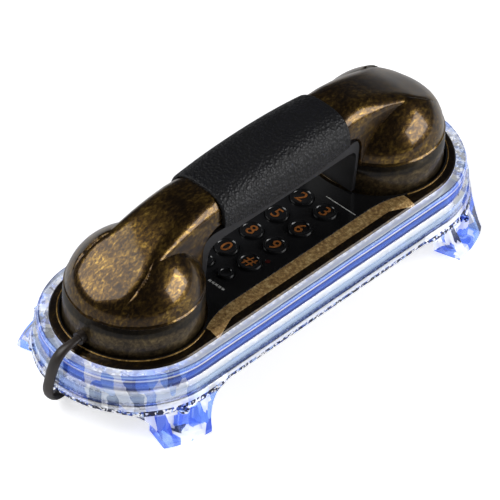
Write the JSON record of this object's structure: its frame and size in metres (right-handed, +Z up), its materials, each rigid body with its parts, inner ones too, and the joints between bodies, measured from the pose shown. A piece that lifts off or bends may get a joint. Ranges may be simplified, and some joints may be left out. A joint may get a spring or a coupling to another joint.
{
  "type": "novelty telephone",
  "caption": "Small arched push-button telephone: bronze handset with a leather grip lying across a racetrack base in clear acrylic on flared feet",
  "frame": {"origin": "on the table under the middle of the base", "axes": "+Y from the mouthpiece end to the earpiece end, +X to the reader's right of the keypad, +Z up"},
  "size_m": [0.106, 0.2326, 0.0778],
  "materials": {
    "clear_acrylic": "polished",
    "clear_rubber": "satin",
    "bronze_paint": "gloss",
    "black_plastic": "gloss",
    "circuit_board": "matt",
    "dark_parts": "matt",
    "silicone": "matt",
    "red_light": "gloss",
    "speaker_metal": "satin",
    "white_plastic": "matt",
    "blue_light": "gloss",
    "steel": "brushed",
    "black_leather": "grained",
    "cord_rubber": "satin",
    "clear_plug": "gloss"
  },
  "bodies": {
    "root": {"clear_housing": "clear_acrylic", "foot_pads": "clear_rubber", "base_cover": "bronze_paint", "keypad_panel": "black_plastic", "base_pan": "black_plastic", "main_board": "circuit_board", "board_parts": "dark_parts", "keypad_membrane": "silicone", "indicator_light": "red_light", "ringer_speaker": "speaker_metal", "hook_switch": "black_plastic", "line_jack": "black_plastic", "handset_jack": "black_plastic", "light_strips": "white_plastic", "blue_lights": "blue_light", "base_weight": "steel", "base_screws": "steel", "board_screws": "steel", "cord_lead": "cord_rubber", "curly_cord": "cord_rubber", "cord_tail": "cord_rubber", "cord_plug": "clear_plug"},
    "handset": {"handset_shell": "bronze_paint", "mouthpiece_cup": "bronze_paint", "earpiece_cup": "bronze_paint", "handle_underside": "black_plastic", "leather_grip": "black_leather", "mouthpiece_grille": "black_plastic", "earpiece_grille": "black_plastic", "receiver_capsule": "speaker_metal", "microphone_capsule": "speaker_metal", "microphone_boot": "silicone", "handset_weight": "steel", "handset_screws": "steel", "cord_boot": "cord_rubber"},
    "hook_plunger": {"hook_plunger": "white_plastic"},
    "key_1": {"key_1": "black_plastic"},
    "key_2": {"key_2": "black_plastic"},
    "key_3": {"key_3": "black_plastic"},
    "key_4": {"key_4": "black_plastic"},
    "key_5": {"key_5": "black_plastic"},
    "key_6": {"key_6": "black_plastic"},
    "key_7": {"key_7": "black_plastic"},
    "key_8": {"key_8": "black_plastic"},
    "key_9": {"key_9": "black_plastic"},
    "key_star": {"key_star": "black_plastic"},
    "key_0": {"key_0": "black_plastic"},
    "key_hash": {"key_hash": "black_plastic"},
    "redial_button": {"redial_button": "black_plastic"},
    "flash_button": {"flash_button": "black_plastic"},
    "mute_button": {"mute_button": "black_plastic"}
  },
  "joints": [
    {"name": "handset_lift", "type": "slide", "parent": "root", "child": "handset", "axis": [0, 0, 1], "range_m": [0, 0.12]},
    {"name": "hook_travel", "type": "slide", "parent": "root", "child": "hook_plunger", "axis": [0, 0, 1], "range_m": [0, 0.003]},
    {"name": "key_1_press", "type": "slide", "parent": "root", "child": "key_1", "axis": [0, 0, -1], "range_m": [0, 0.0012], "stiffness_N_per_m": 300, "springref_m": -0.001},
    {"name": "key_2_press", "type": "slide", "parent": "root", "child": "key_2", "axis": [0, 0, -1], "range_m": [0, 0.0012], "stiffness_N_per_m": 300, "springref_m": -0.001},
    {"name": "key_3_press", "type": "slide", "parent": "root", "child": "key_3", "axis": [0, 0, -1], "range_m": [0, 0.0012], "stiffness_N_per_m": 300, "springref_m": -0.001},
    {"name": "key_4_press", "type": "slide", "parent": "root", "child": "key_4", "axis": [0, 0, -1], "range_m": [0, 0.0012], "stiffness_N_per_m": 300, "springref_m": -0.001},
    {"name": "key_5_press", "type": "slide", "parent": "root", "child": "key_5", "axis": [0, 0, -1], "range_m": [0, 0.0012], "stiffness_N_per_m": 300, "springref_m": -0.001},
    {"name": "key_6_press", "type": "slide", "parent": "root", "child": "key_6", "axis": [0, 0, -1], "range_m": [0, 0.0012], "stiffness_N_per_m": 300, "springref_m": -0.001},
    {"name": "key_7_press", "type": "slide", "parent": "root", "child": "key_7", "axis": [0, 0, -1], "range_m": [0, 0.0012], "stiffness_N_per_m": 300, "springref_m": -0.001},
    {"name": "key_8_press", "type": "slide", "parent": "root", "child": "key_8", "axis": [0, 0, -1], "range_m": [0, 0.0012], "stiffness_N_per_m": 300, "springref_m": -0.001},
    {"name": "key_9_press", "type": "slide", "parent": "root", "child": "key_9", "axis": [0, 0, -1], "range_m": [0, 0.0012], "stiffness_N_per_m": 300, "springref_m": -0.001},
    {"name": "key_star_press", "type": "slide", "parent": "root", "child": "key_star", "axis": [0, 0, -1], "range_m": [0, 0.0012], "stiffness_N_per_m": 300, "springref_m": -0.001},
    {"name": "key_0_press", "type": "slide", "parent": "root", "child": "key_0", "axis": [0, 0, -1], "range_m": [0, 0.0012], "stiffness_N_per_m": 300, "springref_m": -0.001},
    {"name": "key_hash_press", "type": "slide", "parent": "root", "child": "key_hash", "axis": [0, 0, -1], "range_m": [0, 0.0012], "stiffness_N_per_m": 300, "springref_m": -0.001},
    {"name": "redial_button_press", "type": "slide", "parent": "root", "child": "redial_button", "axis": [0, 0, -1], "range_m": [0, 0.0012], "stiffness_N_per_m": 300, "springref_m": -0.001},
    {"name": "flash_button_press", "type": "slide", "parent": "root", "child": "flash_button", "axis": [0, 0, -1], "range_m": [0, 0.0012], "stiffness_N_per_m": 300, "springref_m": -0.001},
    {"name": "mute_button_press", "type": "slide", "parent": "root", "child": "mute_button", "axis": [0, 0, -1], "range_m": [0, 0.0012], "stiffness_N_per_m": 300, "springref_m": -0.001}
  ],
  "couplings": [
    {"joint": "hook_travel", "follows": "handset_lift", "ratio": 0.025}
  ]
}
